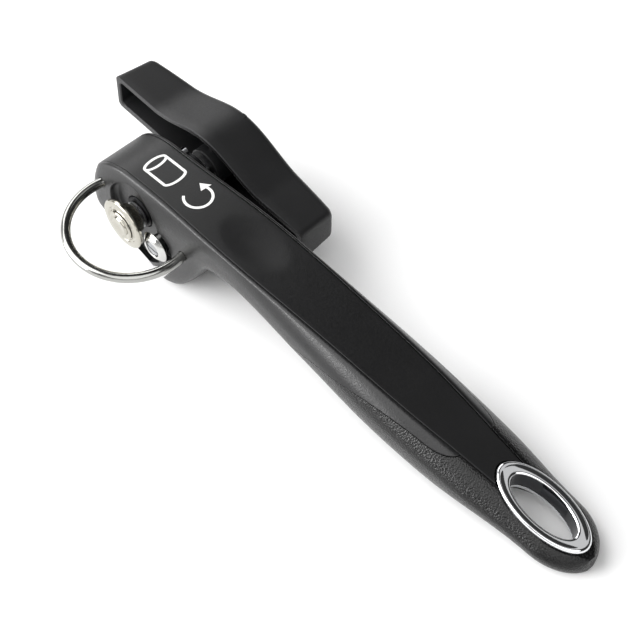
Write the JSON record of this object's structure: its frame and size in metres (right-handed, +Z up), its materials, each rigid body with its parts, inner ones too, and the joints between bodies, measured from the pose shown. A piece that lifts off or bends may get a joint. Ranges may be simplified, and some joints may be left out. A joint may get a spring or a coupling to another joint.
{
  "type": "manual can opener",
  "caption": "Side-cutting hand can opener with a long arched handle, butterfly turn knob, flanged drive wheel, cutting wheel, wire loop and a lined hanging hole.",
  "frame": {"origin": "centre of the overall box's footprint, on the surface the opener stands on with its hook tip and tail", "axes": "+X from the head to the tail of the handle, +Y from the wheels to the knob along the spindle axis, +Z up"},
  "size_m": [0.2308, 0.075, 0.041],
  "materials": {
    "handle_abs": "moulded ABS, fine spark-eroded texture, satin",
    "cover_abs": "moulded ABS, fine texture, matt",
    "grip_tpe": "thermoplastic elastomer overmould, leather-like fine grain",
    "knob_abs": "moulded ABS, fine texture, satin",
    "chrome_trim": "chrome-plated ABS, polished",
    "nickel_wheel": "nickel-plated hardened steel, polished",
    "cutter_steel": "ground stainless steel",
    "stainless_wire": "drawn stainless wire, polished",
    "steel": "zinc-plated and stainless steel",
    "zinc_bush": "die-cast zinc"
  },
  "bodies": {
    "handle": {"handle_body": "handle_abs", "top_cover": "cover_abs", "soft_grip": "grip_tpe", "hang_hole_sleeve": "chrome_trim", "hang_hole_back_ring": "chrome_trim", "chassis_plate": "steel", "stop_pin": "steel", "bush_wave_washer": "steel", "cutter_pivot": "steel", "cutter_wave_washer": "steel", "wire_loop": "stainless_wire", "loop_retainer_front": "steel", "loop_retainer_rear": "steel"},
    "bush": {"eccentric_bush": "zinc_bush"},
    "drive": {"spindle": "steel", "spindle_circlip": "steel", "thrust_washer_front": "steel", "thrust_washer_rear": "steel", "drive_wheel": "nickel_wheel", "drive_wheel_cap": "nickel_wheel", "knob": "knob_abs", "knob_washer": "steel", "knob_screw": "steel", "knob_cap": "knob_abs"},
    "cutter": {"cutter_wheel": "cutter_steel"}
  },
  "joints": [
    {"name": "bush_turn", "type": "hinge", "parent": "handle", "child": "bush", "pos_m": [-0.06847, 0.01333, 0.0266], "axis": [0, 1, 0], "range_deg": [-95, 0]},
    {"name": "knob_spin", "type": "hinge", "parent": "bush", "child": "drive", "pos_m": [-0.06913, 0.00703, 0.0256], "axis": [0, 1, 0], "continuous": true},
    {"name": "cutter_spin", "type": "hinge", "parent": "handle", "child": "cutter", "pos_m": [-0.05758, -0.00907, 0.02077], "axis": [0, 1, 0], "continuous": true}
  ]
}
